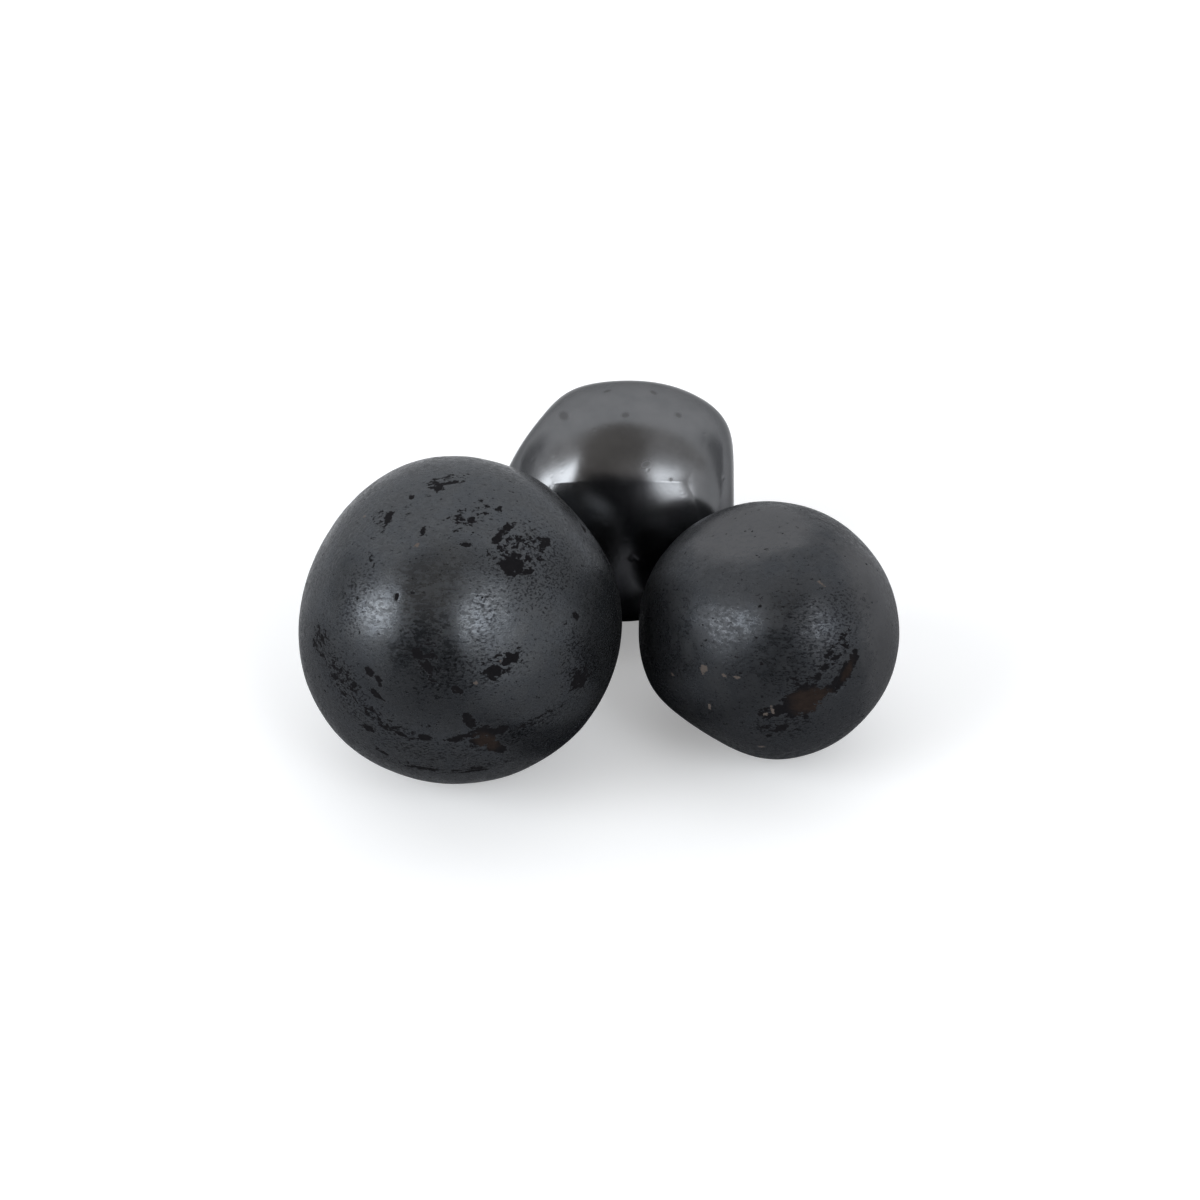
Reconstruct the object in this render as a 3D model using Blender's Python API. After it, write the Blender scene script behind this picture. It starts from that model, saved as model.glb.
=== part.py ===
"""A loose set of three tumbled massage stones, resting together on a flat surface.

Each stone is one solid pebble. It starts as a sphere whose radius follows an ellipsoid and a few
worn faces, which tumbling has rounded into each other, and it stands on a small flat.
Metres, +Z up. The origin is on the resting surface, in the middle of the set's footprint.
+X runs to the right along the two front stones, and +Y runs back to the stone behind them.
"""

import math

import bmesh
import bpy
from mathutils import Vector

MM = 0.001

# The bow of a worn face that is all but flat, in mm.
FLAT = 1000
# An icosphere of 5 subdivisions has 5120 faces, about 1.3 mm across on the large stone.
SPHERE_SUBDIVISIONS = 5
# Points this close to the plane of the resting flat are moved onto it, so its rim has no slivers.
RIM_SNAP = 0.04
# A point is on the resting flat when it is no more than this above it, in metres.
ON_FLAT = 1e-7


def face(azimuth, elevation, distance, bow=FLAT):
    """A worn face: which way it looks, in degrees, its distance from the stone's centre and its bow,
    which is the radius that it is domed to, both in mm.

    Azimuth 0 looks to +X and 90 to +Y, and elevation is above the horizontal.
    """
    return towards(azimuth, elevation), distance * MM, bow * MM


def swell(azimuth, elevation, spread, height):
    """A broad rise, or with a negative height a hollow: its middle, its angular width in degrees
    and its height in mm."""
    return towards(azimuth, elevation), math.radians(spread), height * MM


def towards(azimuth, elevation):
    turn = math.radians(azimuth)
    tilt = math.radians(elevation)
    return Vector((math.cos(turn) * math.cos(tilt), math.sin(turn) * math.cos(tilt), math.sin(tilt)))


# half_sizes are the ellipsoid's half width, half depth and half height in mm, before the faces wear
# it down. centre is where it stands, and base_depth is from its centre down to its resting flat.
# The higher the edge_power, the tighter the rounded edges where worn faces meet.
STONES = {
    "large_stone": {
        "half_sizes": (18.0, 18.5, 17.8),
        "centre": (-15.4, -23.4),
        "base_depth": 17.1,
        "edge_power": 14,
        "faces": [],
        "swells": [
            swell(-146, -30, 34, 0.6),
            swell(166, 15, 24, -0.5),
            swell(29, 28, 22, -0.6),
            swell(115, 45, 24, 0.4),
            swell(-133, 32, 38, 0.9),
            swell(-47, 32, 38, -0.9),
        ],
        "colour": (0.055, 0.060, 0.066),
        "roughness": 0.38,
    },
    "right_stone": {
        "half_sizes": (14.7, 14.8, 14.6),
        "centre": (18.9, -21.2),
        "base_depth": 13.6,
        "edge_power": 14,
        "faces": [
            face(-168, 76, 13.8),
            face(-131, -40, 13.9),
        ],
        "swells": [swell(-133, 32, 38, -0.95), swell(-47, 32, 38, 0.95)],
        "colour": (0.052, 0.055, 0.061),
        "roughness": 0.44,
    },
    "back_stone": {
        "half_sizes": (14.7, 14.8, 14.6),
        "centre": (2.9, 3.5),
        "base_depth": 13.0,
        "edge_power": 24,
        "faces": [
            face(-90, 79, 13.2, bow=60),
            face(-90, 50, 12.2, bow=20),
            face(-90, 24, 11.5, bow=40),
            face(0, 3, 13.0),
            face(155, 24, 13.7),
            face(90, 45, 14.3),
            face(-125, -5, 13.3),
            face(-56, -5, 13.3),
        ],
        "swells": [swell(29, 30, 20, 0.8)],
        "colour": (0.130, 0.134, 0.142),
        "roughness": 0.20,
    },
}


def reach(direction, normal, distance, bow):
    """How far a worn face is from the stone's centre in that direction."""
    along = (distance - bow) * direction.dot(normal)
    return along + math.sqrt(along**2 + distance * (2 * bow - distance))


def radius_along(direction, shape):
    """The distance from a stone's centre to its skin. One over it is a power mean over the ellipsoid
    and the worn faces, so the nearest of them counts most and the edges between them come out round."""
    power = shape["edge_power"]
    parts = zip(direction, shape["half_sizes"])
    ellipsoid = math.sqrt(sum((part / (half * MM)) ** 2 for part, half in parts))
    closeness = ellipsoid**power
    for worn in shape["faces"]:
        closeness += reach(direction, *worn) ** -power
    radius = closeness ** (-1 / power)
    for middle, spread, height in shape["swells"]:
        radius += height * math.exp(-((direction.angle(middle) / spread) ** 2))
    return radius


def stone_mesh(name, shape):
    """The stone around its own centre, cut level at the flat that it rests on."""
    level = -shape["base_depth"] * MM
    bm = bmesh.new()
    bmesh.ops.create_icosphere(bm, subdivisions=SPHERE_SUBDIVISIONS, radius=1)
    for vert in bm.verts:
        direction = vert.co.normalized()
        vert.co = direction * radius_along(direction, shape)
    bmesh.ops.bisect_plane(
        bm,
        geom=bm.verts[:] + bm.edges[:] + bm.faces[:],
        dist=RIM_SNAP * MM,
        plane_co=(0, 0, level),
        plane_no=(0, 0, -1),
        use_snap_center=True,
        clear_outer=True,
    )
    bmesh.ops.contextual_create(bm, geom=[edge for edge in bm.edges if edge.is_boundary])
    level_faces = [item for item in bm.faces if all(vert.co.z < level + ON_FLAT for vert in item.verts)]
    bmesh.ops.dissolve_faces(bm, faces=level_faces)
    bmesh.ops.recalc_face_normals(bm, faces=bm.faces)
    for item in bm.faces:
        item.smooth = True
    base = min(bm.faces, key=lambda item: item.calc_center_median().z)
    for edge in base.edges:
        edge.smooth = False
    mesh = bpy.data.meshes.new(name)
    bm.to_mesh(mesh)
    bm.free()
    return mesh


def stone_material(name, colour, roughness):
    """Dark steel-grey stone with a metallic lustre."""
    material = bpy.data.materials.new(name)
    material.use_nodes = True
    shader = material.node_tree.nodes["Principled BSDF"]
    shader.inputs["Base Color"].default_value = (*colour, 1)
    shader.inputs["Metallic"].default_value = 1
    shader.inputs["Roughness"].default_value = roughness
    return material


def stand_stone(name, shape):
    """One stone as an object with its origin at its centre, standing on its flat."""
    stone = bpy.data.objects.new(name, stone_mesh(name, shape))
    stone.data.materials.append(stone_material(name, shape["colour"], shape["roughness"]))
    across, back = shape["centre"]
    stone.location = Vector((across, back, shape["base_depth"])) * MM
    bpy.context.scene.collection.objects.link(stone)
    return stone


def centre_footprint(stones):
    """Moves the set so that the middle of its footprint is at the origin."""
    corners = [stone.location + vert.co for stone in stones for vert in stone.data.vertices]
    for axis in (0, 1):
        reach = [corner[axis] for corner in corners]
        middle = (min(reach) + max(reach)) / 2
        for stone in stones:
            stone.location[axis] -= middle


def main():
    for obj in list(bpy.data.objects):
        bpy.data.objects.remove(obj)
    centre_footprint([stand_stone(name, shape) for name, shape in STONES.items()])


main()
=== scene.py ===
"""Three loose massage stones of a dark, metallic grey ore, on a pale floor in soft studio light.

Each stone gets a fine skin over its CAD solid: the same shape with its facets eased away, the low
waves that tumbling leaves, and the bare places that the polish never reached, which are sunk, matt
and ragged. A direction on a stone is an azimuth and an elevation in degrees, seen from the middle of
the stone's box: azimuth 0 looks to +X, 90 to +Y, and elevation is above the horizontal.
"""

import math

import bmesh
import bpy
import numpy as np
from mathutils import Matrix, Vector, noise
from mathutils.bvhtree import BVHTree


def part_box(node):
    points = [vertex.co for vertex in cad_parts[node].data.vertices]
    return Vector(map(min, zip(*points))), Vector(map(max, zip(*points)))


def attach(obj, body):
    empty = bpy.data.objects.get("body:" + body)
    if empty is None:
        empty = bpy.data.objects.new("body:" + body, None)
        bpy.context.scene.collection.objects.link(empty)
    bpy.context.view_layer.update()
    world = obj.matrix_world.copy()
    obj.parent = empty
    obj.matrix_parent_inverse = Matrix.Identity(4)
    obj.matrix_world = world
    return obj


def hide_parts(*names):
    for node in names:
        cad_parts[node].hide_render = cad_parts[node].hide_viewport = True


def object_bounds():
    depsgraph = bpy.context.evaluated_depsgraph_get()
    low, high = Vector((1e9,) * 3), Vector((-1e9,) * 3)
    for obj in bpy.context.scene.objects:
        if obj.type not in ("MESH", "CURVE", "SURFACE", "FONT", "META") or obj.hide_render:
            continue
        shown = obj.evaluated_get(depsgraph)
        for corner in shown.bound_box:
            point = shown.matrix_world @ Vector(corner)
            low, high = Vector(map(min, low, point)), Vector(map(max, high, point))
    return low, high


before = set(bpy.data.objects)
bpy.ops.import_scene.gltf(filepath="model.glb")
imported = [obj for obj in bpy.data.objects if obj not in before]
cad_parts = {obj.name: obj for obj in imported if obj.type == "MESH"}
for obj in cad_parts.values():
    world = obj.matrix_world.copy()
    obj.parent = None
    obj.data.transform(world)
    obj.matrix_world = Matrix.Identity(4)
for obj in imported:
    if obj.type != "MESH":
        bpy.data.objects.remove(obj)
cad_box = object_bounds()

MM = 0.001

# The skin is a cube's six square grids blown up to a sphere: 6 x 127 x 127 cells, 0.2 mm across.
GRID_CUTS = 126
# How often a stone's radii are averaged with their neighbours, which spreads them over about 1.4 mm.
EASE_ROUNDS = 90

# The main view: straight along +Y from the front and well above, through a long lens. The distances
# are in metres, and the lens and its sensor in mm.
VIEW_ELEVATION = 40.5
VIEW_DISTANCE = 0.3249
VIEW_LENS = 85.0
SENSOR_WIDTH = 36.0
CLIP_NEAR = 0.01
CLIP_FAR = 20.0
# What the camera looks at, from the middle of the set's footprint on the floor.
VIEW_AIM = Vector((-0.00012, -0.00359, 0.01325))


def towards(azimuth, elevation):
    turn = math.radians(azimuth)
    tilt = math.radians(elevation)
    return Vector((math.cos(turn) * math.cos(tilt), math.sin(turn) * math.cos(tilt), math.sin(tilt)))


# ---------------------------------------------------------------- what marks each stone

# A mark is (azimuth, elevation, length, width, turn): its middle, its size in mm and how far its
# length is turned from level, anticlockwise as seen from outside.
# "bare" is a solid bare patch. "flecked" is scattered with bare flecks, and "specked" with specks too
# fine for the skin. "rust" colours what is bare there, and "pits" are deep. "pale" is a grain of pale
# grit. The haze marks are where the polish is worn to an even matt grey; on the right stone's top
# facet that grey is lighter, a painted reflection of the bright room above. "spots" are dull spots in
# a gloss.
MARKS = {
    "large_stone": {
        "bare": [
            (-52, 55, 3.2, 2.6, -20),
            (-44, 50, 1.6, 0.7, -25),
            (-33, 67, 3.4, 1.1, 5),
            (-49, 66, 2.6, 0.9, 20),
            (-19, 53, 2.0, 1.0, -10),
            (-32, 51, 1.2, 0.6, -60),
            (-79, 67, 1.4, 0.6, -10),
            (-123, 70, 0.7, 1.6, 15),
            (-164, 65, 1.9, 1.0, -30),
            (176, 74, 1.0, 0.9, 0),
            (139, 82, 1.6, 0.8, 20),
            (103, 82, 2.0, 0.7, 10),
            (-15, 74, 1.6, 0.5, -25),
            (-117, 45, 0.5, 1.1, 10),
            (-120, 18, 1.4, 0.8, -30),
            (-116, 16, 0.7, 1.5, 25),
            (-117, 11, 1.9, 0.7, -30),
            (-103, 28, 1.6, 1.2, -30),
            (-99, 24, 1.1, 1.6, 30),
            (-75, 21, 1.9, 1.3, 20),
            (-68, 24, 2.4, 1.1, 15),
            (-89, 16, 1.6, 0.9, -25),
            (-81, -3, 3.4, 3.0, -35),
            (-85, 4, 1.4, 2.2, 20),
            (-88, -3, 3.4, 1.2, 10),
            (-76, -10, 3.0, 1.5, -50),
            (-75, -2, 2.2, 1.0, 0),
            (-100, -3, 1.6, 0.7, -10),
            (-108, -3, 1.9, 0.6, -20),
            (-120, -5, 1.6, 1.0, 0),
            (-117, -16, 1.6, 0.8, -25),
            (-102, -22, 3.8, 0.8, -5),
            (-84, -24, 3.8, 0.8, 5),
            (-41, 3, 2.6, 2.0, -20),
            (-33, 26, 1.0, 1.2, 30),
            (60, 30, 3.0, 2.0, 20),
            (95, 5, 2.4, 1.6, -30),
            (150, 20, 2.8, 1.2, 40),
            (15, 35, 1.8, 1.2, 0),
        ],
        "flecked": [
            (-40, 58, 9.0, 5.0, -10),
            (-140, 51, 3.0, 1.0, -45),
            (-165, 62, 5.0, 3.0, -20),
            (110, 80, 6.0, 3.0, 10),
            (-60, 78, 7.0, 3.0, 0),
            (-145, 17, 4.5, 4.0, -50),
            (-130, 10, 7.0, 4.5, -35),
            (-112, 0, 9.0, 2.4, -20),
            (-62, -3, 8.0, 1.2, 8),
            (-72, 22, 6.0, 3.0, 15),
            (-100, 25, 4.0, 5.0, 20),
            (-95, -22, 12.0, 1.6, 0),
            (-41, 5, 5.0, 4.0, 0),
            (80, 15, 14.0, 5.0, 20),
            (150, 10, 9.0, 5.0, -20),
            (20, 10, 6.0, 9.0, 10),
        ],
        "specked": [
            (-130, 8, 16.0, 6.0, -40),
            (-105, -8, 16.0, 5.0, -15),
            (-70, -6, 18.0, 3.0, 10),
            (-95, -22, 22.0, 3.0, 0),
            (-84, 22, 14.0, 5.0, 10),
            (-38, 50, 14.0, 10.0, -10),
            (-41, 10, 6.0, 10.0, 0),
            (-75, 40, 4.0, 9.0, -10),
            (-135, 38, 5.0, 9.0, 10),
        ],
        "rust": [(-79, -7, 3.2, 2.2, -40), (100, 5, 3.0, 2.0, 0)],
        "pale": [
            (-82, 18, 0.7, 0.6, 0),
            (-72, 24, 0.5, 0.35, 20),
            (-120, 64, 0.5, 0.6, 0),
            (-178, 56, 0.3, 0.4, 0),
        ],
    },
    "right_stone": {
        "bare": [
            (-79, 8, 5.0, 4.0, 20),
            (-90, 4, 3.8, 1.8, 25),
            (-70, 11, 2.6, 1.4, 30),
            (-64, 13, 2.4, 1.3, 60),
            (-58, 18, 2.8, 1.5, 55),
            (-53, 23, 1.8, 1.4, 50),
            (-68, 23, 1.6, 0.4, 20),
            (-101, 51, 0.35, 0.25, 0),
            (-81, 46, 0.4, 0.3, 0),
            (-97, 26, 0.5, 0.4, 0),
            (-87, -6, 1.4, 0.5, 10),
            (-92, -11, 0.8, 0.6, 0),
            (60, 20, 3.0, 1.6, 30),
            (130, 5, 2.0, 1.2, 0),
            (10, 5, 2.4, 1.0, -40),
        ],
        "flecked": [
            (-60, 28, 6.0, 2.0, 40),
            (-74, 20, 6.0, 2.0, 10),
            (-88, -6, 5.0, 2.0, 0),
            (70, 20, 8.0, 4.0, 20),
            (160, 10, 8.0, 4.0, -20),
        ],
        "specked": [
            (-66, 36, 8.0, 9.0, 30),
            (-50, 40, 8.0, 5.0, 40),
            (-74, 20, 9.0, 6.0, 10),
            (-86, -6, 9.0, 4.0, 0),
        ],
        "rust": [(-75, 9, 3.8, 3.0, 20), (-57, 18, 2.4, 1.0, 55), (62, 20, 2.0, 1.4, 0)],
        "pale": [
            (-125, 16, 1.0, 1.3, 20),
            (-114, 17, 0.6, 0.5, 0),
            (-141, 5, 0.6, 0.5, 0),
            (-108, 18, 0.9, 0.4, 10),
            (-119, -1, 0.5, 0.9, 0),
            (-95, -21, 0.9, 0.5, 20),
            (-53, 56, 0.35, 1.3, 20),
            (-91, 5, 0.5, 1.1, 20),
            (-94, 2, 0.9, 0.4, 30),
        ],
        "pits": [(-79, 8, 4.4, 3.2, 20), (-60, 15, 3.2, 1.1, 58)],
        # The first haze mark, on the top facet, is also painted reflection: its lighter grey stands in
        # for the bright room that facet mirrors.
        "haze_and_reflection": [(140, 77, 15.0, 11.0, 130), (-22, 22, 20.0, 11.0, 65)],
    },
    "back_stone": {
        "spots": [
            (-176, 62, 2.2, 1.2, 20),
            (-66, 81, 1.1, 0.9, 0),
            (33, 69, 1.2, 0.8, 0),
            (-6, 60, 0.9, 0.9, 0),
            (114, 77, 1.2, 0.7, 0),
            (-66, 52, 1.4, 0.8, 10),
            (-53, 40, 0.6, 0.6, 0),
            (100, 20, 2.0, 1.0, 30),
            (150, 0, 1.2, 1.2, 0),
        ],
    },
}

# The nearness to a mark, from 0 to 1, at which it starts to show and at which it shows in full.
RIMS = {
    "bare": (0.0, 0.75),
    "flecked": (0.1, 0.8),
    "specked": (0.05, 0.8),
    "rust": (0.15, 0.7),
    "pale": (0.3, 0.6),
    "pits": (0.15, 0.8),
    "haze_and_reflection": (0.2, 0.65),
    "spots": (0.2, 0.8),
}
# How much of the noise is added to that nearness, which makes the rims of a mark ragged.
PIT_FRAY = 0.08
RUST_FRAY = 0.1
PALE_FRAY = 0.1
HAZE_AND_REFLECTION_FRAY = 0.04

# How bare a place is follows from noise: it is bare where the noise, in standard deviations, is
# below a threshold. Over the whole stone the threshold is low, and the marks raise it.
BARE_SOMEWHERE = -3.2
BARE_IN_PATCH = 5.6
FLECKS_SOMEWHERE = -2.7
BARE_IN_FLECKS = 2.5
# The noises for the patches' outlines and for the flecks: the longest waves in mm, how many octaves,
# how fast those fade and where in the noise they are taken from. Both are drawn out along X, as the
# stones wore along it.
RAGGED = {"wavelength": 2.2, "octaves": 5, "fade": 0.35, "shift": 0}
SPECKS = {"wavelength": 0.7, "octaves": 3, "fade": 0.3, "shift": 3}
DRAWN_OUT = np.array((0.6, 1.0, 1.25))
# How much each of them counts in a patch's outline.
RAGGED_SHARE = 0.75
SPECKS_SHARE = 0.65
# How many deviations it takes to go from wholly polished to wholly bare.
BARE_RAMP = 3.0
# How bare a place is where it starts to sink, and where it is sunk in full.
SUNK = (0.35, 0.65)

# Low rounded ridges, each given like a mark, and their height in mm: the edge between the glossy
# stone's top and its front, and a bulge on its front.
RIDGES = {
    "back_stone": [((-90, 83, 24.0, 6.5, 0), 0.45), ((-120, 56, 6.0, 18.0, 0), 0.28)],
}

BARE_DEPTH = 0.02 * MM
PIT_DEPTH = 0.25 * MM
SPOT_DEPTH = 0.002 * MM

# The waves that tumbling leaves: wavelength and height in mm for each stone.
WAVES = {
    "large_stone": [(7.0, 0.035), (1.8, 0.005)],
    "right_stone": [(6.0, 0.030), (1.6, 0.005)],
    "back_stone": [(8.0, 0.020)],
}
# Where in the noise the waves are taken from.
WAVES_SHIFT = 7
# How far apart the stones' noises are taken.
SEED_STEP = 10.0


# ---------------------------------------------------------------- skins


def sphere_grid():
    """A unit sphere made of six square grids, as a mesh."""
    bm = bmesh.new()
    bmesh.ops.create_cube(bm, size=2)
    bmesh.ops.subdivide_edges(bm, edges=bm.edges[:], cuts=GRID_CUTS, use_grid_fill=True)
    for vert in bm.verts:
        # The tangent evens the cells out, which are otherwise smallest at the cube's corners.
        vert.co = Vector([math.tan(part * math.pi / 4) for part in vert.co]).normalized()
    mesh = bpy.data.meshes.new("sphere_grid")
    bm.to_mesh(mesh)
    bm.free()
    mesh.shade_smooth()
    return mesh


def points_of(mesh):
    flat = np.empty(len(mesh.vertices) * 3)
    mesh.vertices.foreach_get("co", flat)
    return flat.reshape(-1, 3)


def edges_of(mesh):
    flat = np.empty(len(mesh.edges) * 2, np.int32)
    mesh.edges.foreach_get("vertices", flat)
    return flat.reshape(-1, 2)


def cad_radii(node, centre, directions):
    """How far the CAD stone's surface is from its centre in each direction."""
    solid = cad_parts[node].data
    solid.calc_loop_triangles()
    corners = [vert.co for vert in solid.vertices]
    tree = BVHTree.FromPolygons(corners, [tri.vertices[:] for tri in solid.loop_triangles])
    reach = (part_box(node)[1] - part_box(node)[0]).length
    radii = []
    for direction in directions:
        # From outside in, so that a ray that slips between two facets still meets one beside it.
        outside = centre + Vector(direction) * reach
        hit = tree.ray_cast(outside, centre - outside)[0] or tree.find_nearest(outside)[0]
        radii.append((hit - centre).length)
    return np.array(radii)


def eased(values, edges):
    """The values averaged with their neighbours' over and over, which takes the facets out."""
    first, second = edges.T
    count = np.bincount(edges.ravel(), minlength=len(values))
    for _ in range(EASE_ROUNDS):
        total = np.bincount(first, values[second], len(values))
        total += np.bincount(second, values[first], len(values))
        values = (values + total / count) / 2
    return values


def fractal(points, seed, wavelength, octaves=1, fade=0.7, shift=0):
    """Fractal noise at each point with a mean of 0 and a deviation of 1. The lower the fade, the
    stronger its fine octaves."""
    places = points / (wavelength * MM) + (seed + shift)
    values = np.array([noise.fractal(place, fade, 2.0, octaves) for place in places])
    return (values - values.mean()) / values.std()


def nearness(directions, radius, mark):
    """1 in the middle of a mark, 0.37 at its rim, and fading to 0 outside."""
    azimuth, elevation, length, width, turn = mark
    middle = towards(azimuth, elevation)
    level = Vector((0, 0, 1)).cross(middle).normalized()
    upright = middle.cross(level)
    angle = math.radians(turn)
    along = level * math.cos(angle) + upright * math.sin(angle)
    across = upright * math.cos(angle) - level * math.sin(angle)
    u = directions @ np.array(along) * radius / (length * MM / 2)
    v = directions @ np.array(across) * radius / (width * MM / 2)
    return np.exp(-(u * u + v * v)) * (directions @ np.array(middle) > 0)


def strongest(directions, radius, marks):
    """The nearness of the nearest mark."""
    result = np.zeros(len(directions))
    for mark in marks:
        result = np.maximum(result, nearness(directions, radius, mark))
    return result


def smoothstep(low, high, values):
    t = np.clip((values - low) / (high - low), 0, 1)
    return t * t * (3 - 2 * t)


def put_attribute(mesh, name, values):
    mesh.attributes.new(name, "FLOAT", "POINT").data.foreach_set("value", values.astype(np.float32))


def make_skin(node, grid, seed):
    """A stone's fine skin. Its attributes say how strongly each kind of mark shows at each point."""
    low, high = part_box(node)
    centre = (low + high) / 2
    # Half the box's diagonal over the root of 3: half its side, if the box were a cube.
    radius = (high - low).length / math.sqrt(12)
    directions = points_of(grid)
    radii = eased(cad_radii(node, centre, directions), edges_of(grid))

    def shown(kind, fray=0.0):
        """How strongly each point shows the marks of that kind."""
        return smoothstep(*RIMS[kind], strongest(directions, radius, MARKS[node].get(kind, [])) + fray)

    places = directions * radius
    ragged = fractal(places * DRAWN_OUT, seed, **RAGGED)
    specks = fractal(places * DRAWN_OUT, seed, **SPECKS)
    patches = BARE_SOMEWHERE + BARE_IN_PATCH * shown("bare")
    patches -= RAGGED_SHARE * ragged + SPECKS_SHARE * specks
    flecks = FLECKS_SOMEWHERE + BARE_IN_FLECKS * shown("flecked") - specks
    bareness = np.clip(np.maximum(patches, flecks) / BARE_RAMP + 0.5, 0, 1)
    pits = shown("pits", ragged * PIT_FRAY)
    spots = shown("spots")
    attributes = {
        "bare": np.maximum(bareness, pits),
        "rust": shown("rust", ragged * RUST_FRAY),
        "pale": shown("pale", specks * PALE_FRAY),
        "spots": spots,
        "haze_and_reflection": shown("haze_and_reflection", ragged * HAZE_AND_REFLECTION_FRAY),
        "specked": shown("specked"),
    }

    for step, (wavelength, height) in enumerate(WAVES[node]):
        radii = radii + fractal(places, seed, wavelength, shift=WAVES_SHIFT + step) * height * MM
    for ridge, height in RIDGES.get(node, []):
        radii = radii + nearness(directions, radius, ridge) * height * MM
    radii = radii - smoothstep(*SUNK, bareness) * BARE_DEPTH - pits * PIT_DEPTH - spots * SPOT_DEPTH

    points = np.array(centre) + directions * radii[:, None]
    points[:, 2] = np.maximum(points[:, 2], low.z)
    mesh = grid.copy()
    mesh.name = node + "_skin"
    mesh.vertices.foreach_set("co", points.ravel())
    for name, values in attributes.items():
        put_attribute(mesh, name, values)
    mesh.update()
    skin = bpy.data.objects.new(node + "_skin", mesh)
    bpy.context.scene.collection.objects.link(skin)
    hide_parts(node)
    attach(skin, node)
    return skin


# ---------------------------------------------------------------- materials

# The places of a Mix node's factor and colours among its inputs, and of its colour among its outputs.
MIX_INPUTS = (0, 6, 7)
MIX_OUTPUT = 2

# The longest waves of the ore's noises, in mm.
FINE_WAVES = 0.35
MOTTLE_WAVES = 0.42
CLOUD_WAVES = 3.0
SPECK_WAVES = 0.24
# How the ore's noises are eased: from a low and a high end, onto a low and a high value.
FRAY = (0.25, 0.75, -0.5, 0.5)
BARE_EDGE = (0.46, 0.56)
SPECK_EDGE = (0.63, 0.68)
CLOUDED_WEAR = (0.3, 0.7, -0.06, 0.06)
WEAR = (0.30, 0.72)
COOLNESS = (0.35, 0.65)
HAZE_AND_REFLECTION_MOTTLE = (0.35, 0.62, 0.55, 1.0)
GRIT_EDGE = (0.5, 0.7)
# How much a specked place lifts the noise that its specks are cut from.
SPECKED_LIFT = 0.11
# Worn polish, specks, haze (lighter on the right stone's top facet as a painted reflection), grit,
# and the two ends of rust and of bare crust.
WORN_COLOUR = (0.034, 0.035, 0.037)
WORN_SHARE = 0.3
SPECK_COLOUR = (0.010, 0.010, 0.012)
SPECK_SHARE = 0.75
# The haze's grey: worn matt polish, and on the right stone's top facet also a painted reflection.
HAZE_AND_REFLECTION_COLOUR = (0.100, 0.100, 0.103)
GRIT_COLOUR = (0.095, 0.079, 0.070)
RUST_COLOURS = ((0.008, 0.006, 0.005), (0.034, 0.023, 0.019))
CRUST_COLOURS = ((0.004, 0.004, 0.005), (0.011, 0.010, 0.011))
HAZE_ROUGHNESS = 0.5
BARE_ROUGHNESS = 0.8
# The relief too fine for the skin, in mm.
MOTTLE_RELIEF = 0.020
FINE_RELIEF = 0.018
BARE_RELIEF = 0.015
# How bright the polish is where it is seen edge on, and how little its matt places shine.
RIM_TINT = (0.65, 0.65, 0.65, 1)
BARE_SHINE = 0.08

# Each ore: its polish and where that is cooler, its roughness where it is smoothest and where it is
# most worn, and its lustre, which is how metallic the polish is. The rest of it is matt, as in a
# polish with dust in it.
ORES = {
    "large_stone": {
        "name": "large_ore",
        "polished": (0.069, 0.0735, 0.080),
        "cool": (0.079, 0.0825, 0.087),
        "smooth": 0.13,
        "rough": 0.44,
        "lustre": 0.86,
    },
    "right_stone": {
        "name": "right_ore",
        "polished": (0.049, 0.052, 0.057),
        "cool": (0.057, 0.059, 0.063),
        "smooth": 0.24,
        "rough": 0.56,
        "lustre": 0.8,
    },
}

# The glossy ore's noises in mm, the ends of its colour and roughness, its dull spots and its relief.
GLOSS_CLOUD_WAVES = 3.0
GLOSS_FINE_WAVES = 0.4
GLOSS_CLOUD = (0.3, 0.7)
GLOSS_COLOURS = ((0.132, 0.134, 0.138), (0.152, 0.153, 0.157))
GLOSS_ROUGHNESS = (0.18, 0.23)
GLOSS_RELIEF = 0.003
GLOSS_RIM_TINT = (0.5, 0.5, 0.5, 1)
SPOT_COLOUR = (0.060, 0.058, 0.058)
SPOT_SHARE = 0.45
SPOT_ROUGHENING = 0.2

# The floor, and how much it glows to the camera: painted light, which pales the stones' shadows on it.
FLOOR_HALF = 2.0
FLOOR_COLOUR = (0.80, 0.80, 0.80)
FLOOR_ROUGHNESS = 0.9
FLOOR_SHINE = 0.2
FLOOR_GLOW = 0.3
# The floor as the stones mirror it, in metres along X and Y: a painted reflection, greyer than the white
# floor the camera sees and paler behind the stones, with a painted shade in front of them and a darker
# painted shade in the gap between them. A span is where it is from and to, and the ease at each end.
MIRRORED_FLOOR_BEHIND = (-0.01, 0.05)
MIRRORED_FLOOR_COLOURS = ((0.42, 0.42, 0.43), (0.85, 0.85, 0.86))
SHADE_AHEAD = (-0.042, -0.090)
SHADE_WIDTH = (-0.12, 0.02, 0.025)
SHADE_COLOUR = (0.13, 0.13, 0.14)
GAP_WIDTH = (-0.005, 0.007, 0.003)
GAP_LENGTH = (-0.066, 0.010, 0.006)
GAP_SHADE_COLOUR = (0.05, 0.05, 0.06)


def add(tree, kind, inputs=None, **settings):
    """A node of that kind. inputs gives what goes into its sockets: a value, or another node's output."""
    node = tree.nodes.new("ShaderNode" + kind)
    for name, value in settings.items():
        setattr(node, name, value)
    for name, value in (inputs or {}).items():
        if isinstance(value, bpy.types.NodeSocket):
            tree.links.new(value, node.inputs[name])
        else:
            node.inputs[name].default_value = value
    return node


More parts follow.
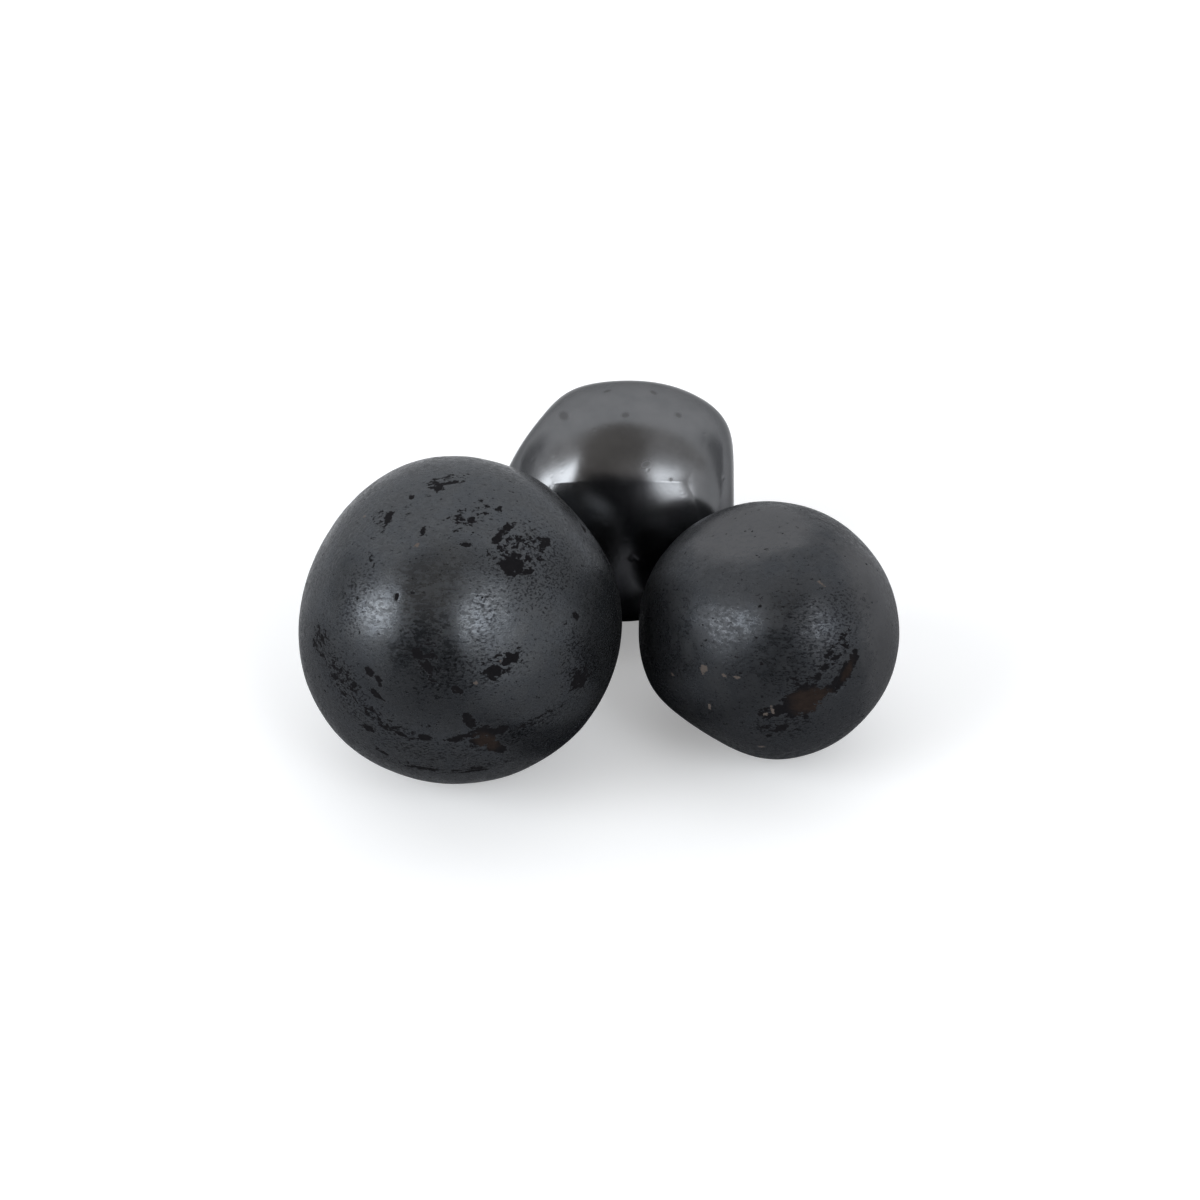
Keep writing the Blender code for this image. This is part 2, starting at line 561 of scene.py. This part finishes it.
def grain(tree, place, wavelength, detail=3.0, roughness=0.6):
    """Noise from 0 to 1 whose longest waves are that many mm."""
    inputs = {"Vector": place, "Scale": 1 / (wavelength * MM), "Detail": detail, "Roughness": roughness}
    return add(tree, "TexNoise", inputs).outputs["Fac"]


def maths(tree, operation, first, second):
    return add(tree, "Math", {0: first, 1: second}, operation=operation).outputs[0]


def spread(tree, value, low, high, to_low=0.0, to_high=1.0):
    """The value from low to high, eased onto to_low to to_high."""
    inputs = {"Value": value, "From Min": low, "From Max": high, "To Min": to_low, "To Max": to_high}
    return add(tree, "MapRange", inputs, interpolation_type="SMOOTHSTEP").outputs["Result"]


def inside(tree, value, low, high, ease):
    """1 where the value is between low and high, easing to 0 outside."""
    rise = spread(tree, value, low - ease, low + ease)
    return maths(tree, "MULTIPLY", rise, spread(tree, value, high + ease, high - ease))


def blend(tree, factor, first, second):
    """Two colours mixed by the factor. Each is a colour or another node's output."""
    node = add(tree, "Mix", data_type="RGBA")
    for place, value in zip(MIX_INPUTS, (factor, first, second)):
        if isinstance(value, tuple):
            node.inputs[place].default_value = (*value, 1)
        else:
            tree.links.new(value, node.inputs[place])
    return node.outputs[MIX_OUTPUT]


def attribute(tree, name):
    return add(tree, "Attribute", attribute_name=name).outputs["Fac"]


def new_material(name):
    material = bpy.data.materials.new(name)
    material.use_nodes = True
    tree = material.node_tree
    return material, tree, tree.nodes["Principled BSDF"]


def plug(tree, shader, links, values):
    """Links and plain values for the shader's sockets."""
    for name, source in links.items():
        tree.links.new(source, shader.inputs[name])
    for name, value in values.items():
        shader.inputs[name].default_value = value


def ore_material(name, polished, cool, smooth, rough, lustre):
    """Worn, half polished ore: a mottled metallic lustre, and matt rusty brown where it is bare."""
    material, tree, shader = new_material(name)
    place = add(tree, "TexCoord").outputs["Object"]
    drawn = add(tree, "VectorMath", {0: place, 1: tuple(DRAWN_OUT)}, operation="MULTIPLY").outputs[0]
    fine = grain(tree, drawn, FINE_WAVES, detail=4.0, roughness=0.7)
    mottle = grain(tree, drawn, MOTTLE_WAVES, detail=5.0, roughness=0.75)
    cloud = grain(tree, place, CLOUD_WAVES, detail=3.0)

    # Fine noise around zero, which frays the edges of whatever it is added to.
    fray = spread(tree, fine, *FRAY)
    bare = spread(tree, maths(tree, "ADD", attribute(tree, "bare"), fray), *BARE_EDGE)
    lift = maths(tree, "MULTIPLY", attribute(tree, "specked"), SPECKED_LIFT)
    specks = maths(tree, "ADD", grain(tree, drawn, SPECK_WAVES, detail=2.0), lift)
    specks = spread(tree, specks, *SPECK_EDGE)
    worn = maths(tree, "ADD", mottle, spread(tree, cloud, *CLOUDED_WEAR))
    worn = spread(tree, worn, *WEAR)
    # The haze mask: worn matt polish in a lighter grey, which on the right stone's top facet is painted
    # reflection.
    haze_and_reflection = maths(tree, "MULTIPLY", attribute(tree, "haze_and_reflection"), spread(tree, mottle, *HAZE_AND_REFLECTION_MOTTLE))
    grit = spread(tree, maths(tree, "ADD", attribute(tree, "pale"), fray), *GRIT_EDGE)

    metal = blend(tree, spread(tree, cloud, *COOLNESS), polished, cool)
    metal = blend(tree, maths(tree, "MULTIPLY", worn, WORN_SHARE), metal, WORN_COLOUR)
    metal = blend(tree, maths(tree, "MULTIPLY", specks, SPECK_SHARE), metal, SPECK_COLOUR)
    metal = blend(tree, haze_and_reflection, metal, HAZE_AND_REFLECTION_COLOUR)
    rusty = blend(tree, fine, *RUST_COLOURS)
    crust = blend(tree, mottle, *CRUST_COLOURS)
    crust = blend(tree, attribute(tree, "rust"), crust, rusty)
    colour = blend(tree, bare, metal, crust)
    colour = blend(tree, grit, colour, GRIT_COLOUR)

    sheen = spread(tree, worn, 0.0, 1.0, smooth, rough)
    sheen = maths(tree, "MAXIMUM", sheen, maths(tree, "MULTIPLY", haze_and_reflection, HAZE_ROUGHNESS))
    dull = add(tree, "Mix", {"Factor": bare, "A": sheen, "B": BARE_ROUGHNESS}).outputs[0]

    relief = {"Height": mottle, "Distance": MOTTLE_RELIEF * MM}
    relief = add(tree, "Bump", relief).outputs[0]
    relief = {"Height": fine, "Distance": FINE_RELIEF * MM, "Normal": relief}
    relief = add(tree, "Bump", relief).outputs[0]
    relief = {"Height": bare, "Distance": BARE_RELIEF * MM, "Normal": relief}
    relief = add(tree, "Bump", relief, invert=True).outputs[0]

    metallic = spread(tree, maths(tree, "MAXIMUM", bare, grit), 0.0, 1.0, lustre, 0.0)
    links = {"Base Color": colour, "Metallic": metallic, "Roughness": dull, "Normal": relief}
    plug(tree, shader, links, {"Specular Tint": RIM_TINT, "Specular IOR Level": BARE_SHINE})
    return material


def glossy_material(name):
    """Fully polished ore, with a few dull spots and a faint cloudiness."""
    material, tree, shader = new_material(name)
    place = add(tree, "TexCoord").outputs["Object"]
    cloud = grain(tree, place, GLOSS_CLOUD_WAVES, detail=5.0)
    fine = grain(tree, place, GLOSS_FINE_WAVES, detail=3.0)
    spots = attribute(tree, "spots")
    colour = blend(tree, spread(tree, cloud, *GLOSS_CLOUD), *GLOSS_COLOURS)
    colour = blend(tree, maths(tree, "MULTIPLY", spots, SPOT_SHARE), colour, SPOT_COLOUR)
    dim = maths(tree, "MULTIPLY", spots, SPOT_ROUGHENING)
    sheen = maths(tree, "ADD", spread(tree, cloud, *GLOSS_CLOUD, *GLOSS_ROUGHNESS), dim)
    relief = add(tree, "Bump", {"Height": fine, "Distance": GLOSS_RELIEF * MM})
    links = {"Base Color": colour, "Roughness": sheen, "Normal": relief.outputs[0]}
    plug(tree, shader, links, {"Metallic": 1.0, "Specular Tint": GLOSS_RIM_TINT})
    return material


def floor_material():
    """Matt white that glows faintly to the camera, painted light that pales the shadows on it. The stones
    mirror it as a painted reflection: greyer, with painted shade in front of and between them.
    """
    material, tree, shader = new_material("floor_white")
    split = add(tree, "SeparateXYZ", {"Vector": add(tree, "TexCoord").outputs["Object"]})
    across = split.outputs["X"]
    back = split.outputs["Y"]
    shade = maths(tree, "MULTIPLY", spread(tree, back, *SHADE_AHEAD), inside(tree, across, *SHADE_WIDTH))
    gap_shade = maths(tree, "MULTIPLY", inside(tree, across, *GAP_WIDTH), inside(tree, back, *GAP_LENGTH))
    # Painted reflection: the stones mirror the floor greyer than it is, paler behind them, with painted
    # shade in front of and between them.
    mirrored = blend(tree, spread(tree, back, *MIRRORED_FLOOR_BEHIND), *MIRRORED_FLOOR_COLOURS)
    mirrored = blend(tree, shade, mirrored, SHADE_COLOUR)
    mirrored = blend(tree, gap_shade, mirrored, GAP_SHADE_COLOUR)
    path = add(tree, "LightPath")
    links = {
        "Base Color": blend(tree, path.outputs["Is Glossy Ray"], FLOOR_COLOUR, mirrored),
        # Painted light: the floor glows to the camera alone, paling the stones' shadows on it.
        "Emission Strength": maths(tree, "MULTIPLY", path.outputs["Is Camera Ray"], FLOOR_GLOW),
    }
    values = {
        "Emission Color": (1, 1, 1, 1),
        "Roughness": FLOOR_ROUGHNESS,
        "Specular IOR Level": FLOOR_SHINE,
    }
    plug(tree, shader, links, values)
    return material


# ---------------------------------------------------------------- studio

# The room that the stones mirror. A direction in it is placed by its X, and by how far it is turned
# up from straight ahead of the stones: 0 degrees is level in front, 90 is overhead and 180 is level
# behind. A span is where it is from and to, and the ease at each end.
ROOM_COLOUR = (1.08, 1.10, 1.13)
# Far to the sides the room is dimmer, and behind the stones dimmer still.
SIDES = (0.70, 0.90)
SIDE_COLOUR = (0.90, 0.92, 0.95)
BEHIND = (96, 118)
BEHIND_COLOUR = (0.38, 0.39, 0.41)
# A beam nearly overhead, and how much of it shows.
BEAM_HEIGHT = (76, 95, 5)
BEAM_WIDTH = (-0.84, 0.84, 0.10)
BEAM_COLOUR = (0.40, 0.38, 0.355)
BEAM_SHARE = 0.65
# Someone dark in front of the stones, who is lit and brownish above, and broader below.
PERSON_HEIGHT = (-90, 93, 11)
PERSON_WIDTH = (-0.56, 0.25, 0.05)
SHOULDER_HEIGHT = (-90, 44, 6)
SHOULDER_WIDTH = (-0.68, 0.38, 0.05)
PERSON_COLOUR = (0.010, 0.011, 0.014)
LIT = (46, 55)
LIT_COLOUR = (0.36, 0.34, 0.32)
# Two tall windows. Their light rises from the sill up, and each is (from X, to X, where its light
# fades out above, its light).
SILL = (18, 56)
WINDOW_EASE = 0.06
WINDOWS = (
    (-0.90, -0.58, (86, 68), (6.6, 6.85, 7.1)),
    (0.28, 0.62, (72, 46), (6.4, 6.65, 6.9)),
)
# What the camera itself sees around the floor.
BACKDROP = (1.0, 1.0, 1.0)


def make_floor():
    """A wide flat floor, level with the lowest point of the stones."""
    half = FLOOR_HALF
    level = cad_box[0].z
    corners = [(-half, -half, level), (half, -half, level), (half, half, level), (-half, half, level)]
    mesh = bpy.data.meshes.new("floor")
    mesh.from_pydata(corners, [], [(0, 1, 2, 3)])
    mesh.materials.append(floor_material())
    floor = bpy.data.objects.new("floor", mesh)
    bpy.context.scene.collection.objects.link(floor)


def make_world():
    """A pale room with a tall soft window on each side of the camera, and someone dark between them."""
    world = bpy.data.worlds.new("room")
    world.use_nodes = True
    tree = world.node_tree
    tree.nodes.clear()
    split = add(tree, "SeparateXYZ", {"Vector": add(tree, "TexCoord").outputs["Generated"]})
    across = split.outputs["X"]
    ahead = maths(tree, "MULTIPLY", split.outputs["Y"], -1.0)
    turned = maths(tree, "ARCTAN2", split.outputs["Z"], ahead)
    turned = maths(tree, "MULTIPLY", turned, 180 / math.pi)

    sides = spread(tree, maths(tree, "ABSOLUTE", across, 0.0), *SIDES)
    walls = blend(tree, spread(tree, turned, *BEHIND), SIDE_COLOUR, BEHIND_COLOUR)
    room = blend(tree, sides, ROOM_COLOUR, walls)
    beam = maths(tree, "MULTIPLY", inside(tree, turned, *BEAM_HEIGHT), inside(tree, across, *BEAM_WIDTH))
    room = blend(tree, maths(tree, "MULTIPLY", beam, BEAM_SHARE), room, BEAM_COLOUR)

    shoulders = inside(tree, across, *SHOULDER_WIDTH)
    shoulders = maths(tree, "MULTIPLY", inside(tree, turned, *SHOULDER_HEIGHT), shoulders)
    between = maths(tree, "MAXIMUM", inside(tree, across, *PERSON_WIDTH), shoulders)
    between = maths(tree, "MULTIPLY", inside(tree, turned, *PERSON_HEIGHT), between)
    person = blend(tree, spread(tree, turned, *LIT), PERSON_COLOUR, LIT_COLOUR)
    room = blend(tree, between, room, person)

    rising = spread(tree, turned, *SILL)
    for low, high, fading, light in WINDOWS:
        tall = maths(tree, "MULTIPLY", rising, spread(tree, turned, *fading))
        wide = inside(tree, across, low, high, WINDOW_EASE)
        room = blend(tree, maths(tree, "MULTIPLY", tall, wide), room, light)

    seen = add(tree, "LightPath").outputs["Is Camera Ray"]
    background = add(tree, "Background", {"Color": blend(tree, seen, room, BACKDROP), "Strength": 1.0})
    output = add(tree, "OutputWorld", {"Surface": background.outputs[0]})
    output.is_active_output = True
    bpy.context.scene.world = world


def make_camera():
    camera = bpy.data.cameras.new("camera")
    camera.lens = VIEW_LENS
    camera.sensor_width = SENSOR_WIDTH
    camera.clip_start = CLIP_NEAR
    camera.clip_end = CLIP_FAR
    eye = bpy.data.objects.new("camera", camera)
    back = towards(-90, VIEW_ELEVATION)
    eye.location = VIEW_AIM + back * VIEW_DISTANCE
    eye.rotation_euler = (-back).to_track_quat("-Z", "Y").to_euler()
    bpy.context.scene.collection.objects.link(eye)
    bpy.context.scene.camera = eye


def main():
    grid = sphere_grid()
    materials = {node: ore_material(**ore) for node, ore in ORES.items()}
    materials["back_stone"] = glossy_material("back_ore")
    for number, (node, material) in enumerate(materials.items(), start=1):
        skin = make_skin(node, grid, number * SEED_STEP)
        skin.data.materials.append(material)
    bpy.data.meshes.remove(grid)
    make_floor()
    make_world()
    make_camera()
    bpy.context.scene.view_settings.view_transform = "Standard"


main()
